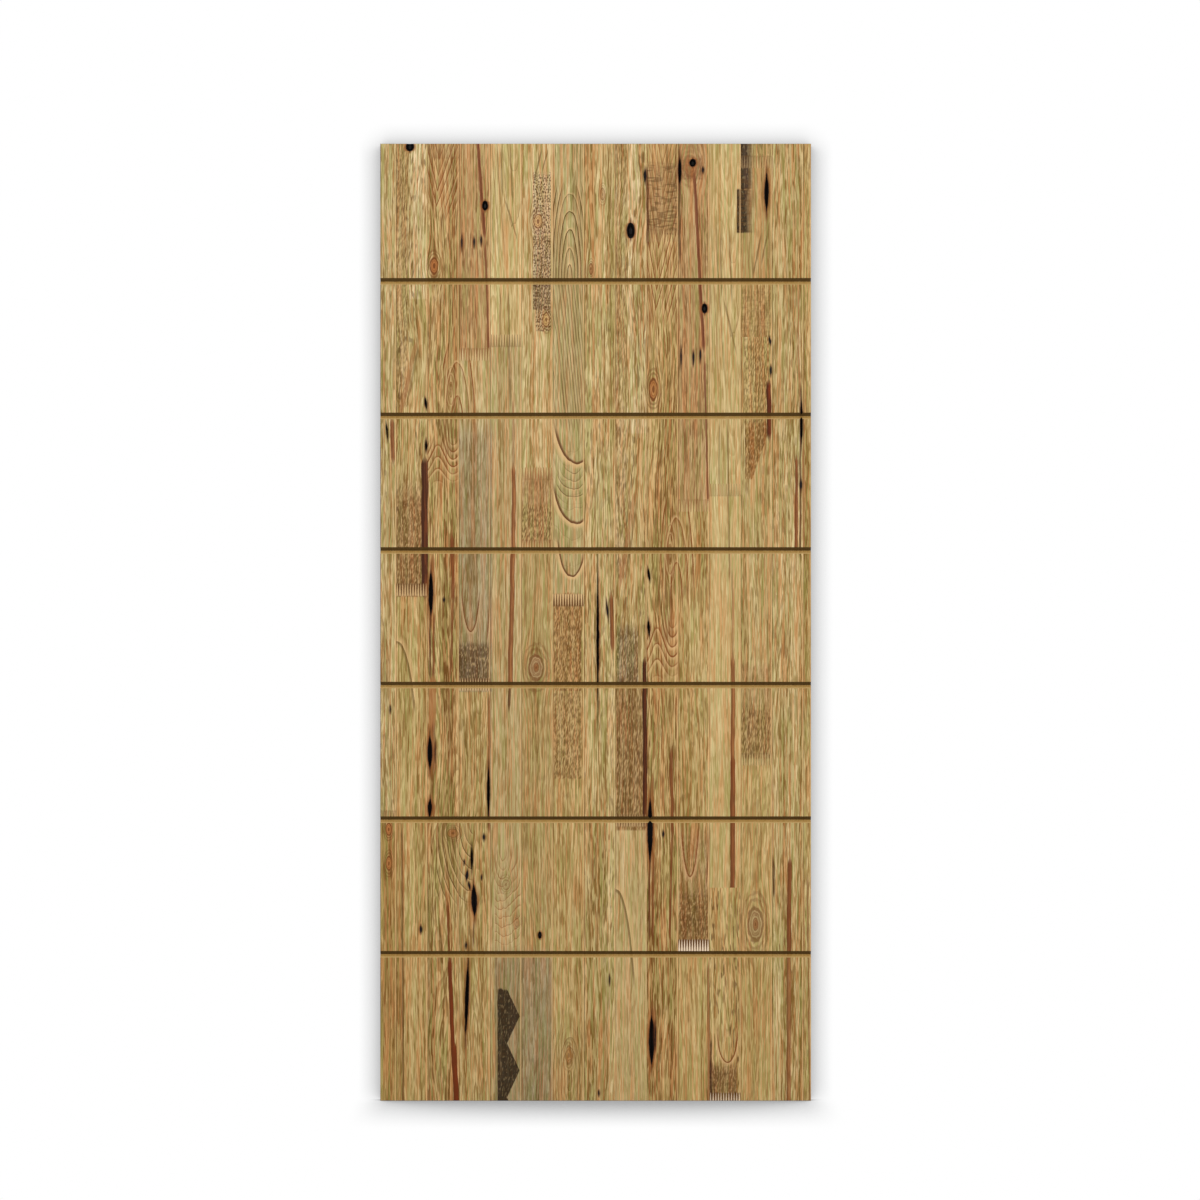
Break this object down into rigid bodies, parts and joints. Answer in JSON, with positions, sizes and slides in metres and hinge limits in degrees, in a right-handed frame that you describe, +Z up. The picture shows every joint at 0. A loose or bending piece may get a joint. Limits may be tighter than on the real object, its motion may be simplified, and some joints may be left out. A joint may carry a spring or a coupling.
{
  "type": "interior door slab",
  "caption": "Flat timber door slab glued up from upright finger-jointed staves, with level V-grooves across both faces and square edges.",
  "frame": {"origin": "on the hinge edge, half way through the thickness, at the foot of the slab", "axes": "+X across the slab from the hinge edge to the lock edge, +Y from the front to the back, +Z up"},
  "size_m": [0.9144, 0.035, 2.032],
  "materials": {
    "pale_sapwood": "satin clear finish over open grain",
    "honey_heartwood": "satin clear finish over open grain",
    "rose_heartwood": "satin clear finish over open grain",
    "grey_sapwood": "satin clear finish over open grain",
    "curly_heartwood": "satin clear finish over open grain"
  },
  "bodies": {
    "root": {"stave_01_lower": "honey_heartwood", "stave_01_upper": "honey_heartwood", "stave_02_lower": "pale_sapwood", "stave_02_upper": "honey_heartwood", "stave_03": "honey_heartwood", "stave_04_lower": "rose_heartwood", "stave_04_middle": "grey_sapwood", "stave_04_upper": "rose_heartwood", "stave_05_lower": "pale_sapwood", "stave_05_upper": "pale_sapwood", "stave_06_lower": "honey_heartwood", "stave_06_middle": "curly_heartwood", "stave_06_upper": "grey_sapwood", "stave_07_lower": "curly_heartwood", "stave_07_upper": "grey_sapwood", "stave_08": "pale_sapwood", "stave_09_lower": "pale_sapwood", "stave_09_upper": "honey_heartwood", "stave_10_lower": "honey_heartwood", "stave_10_upper": "curly_heartwood", "stave_11_lower": "honey_heartwood", "stave_11_middle": "rose_heartwood", "stave_11_upper": "rose_heartwood", "stave_12_lower": "honey_heartwood", "stave_12_middle": "pale_sapwood", "stave_12_upper": "pale_sapwood", "stave_13_foot": "honey_heartwood", "stave_13_lower": "honey_heartwood", "stave_13_middle": "curly_heartwood", "stave_13_top": "curly_heartwood", "stave_13_upper": "curly_heartwood", "stave_14": "pale_sapwood", "stave_15": "honey_heartwood"}
  },
  "joints": []
}
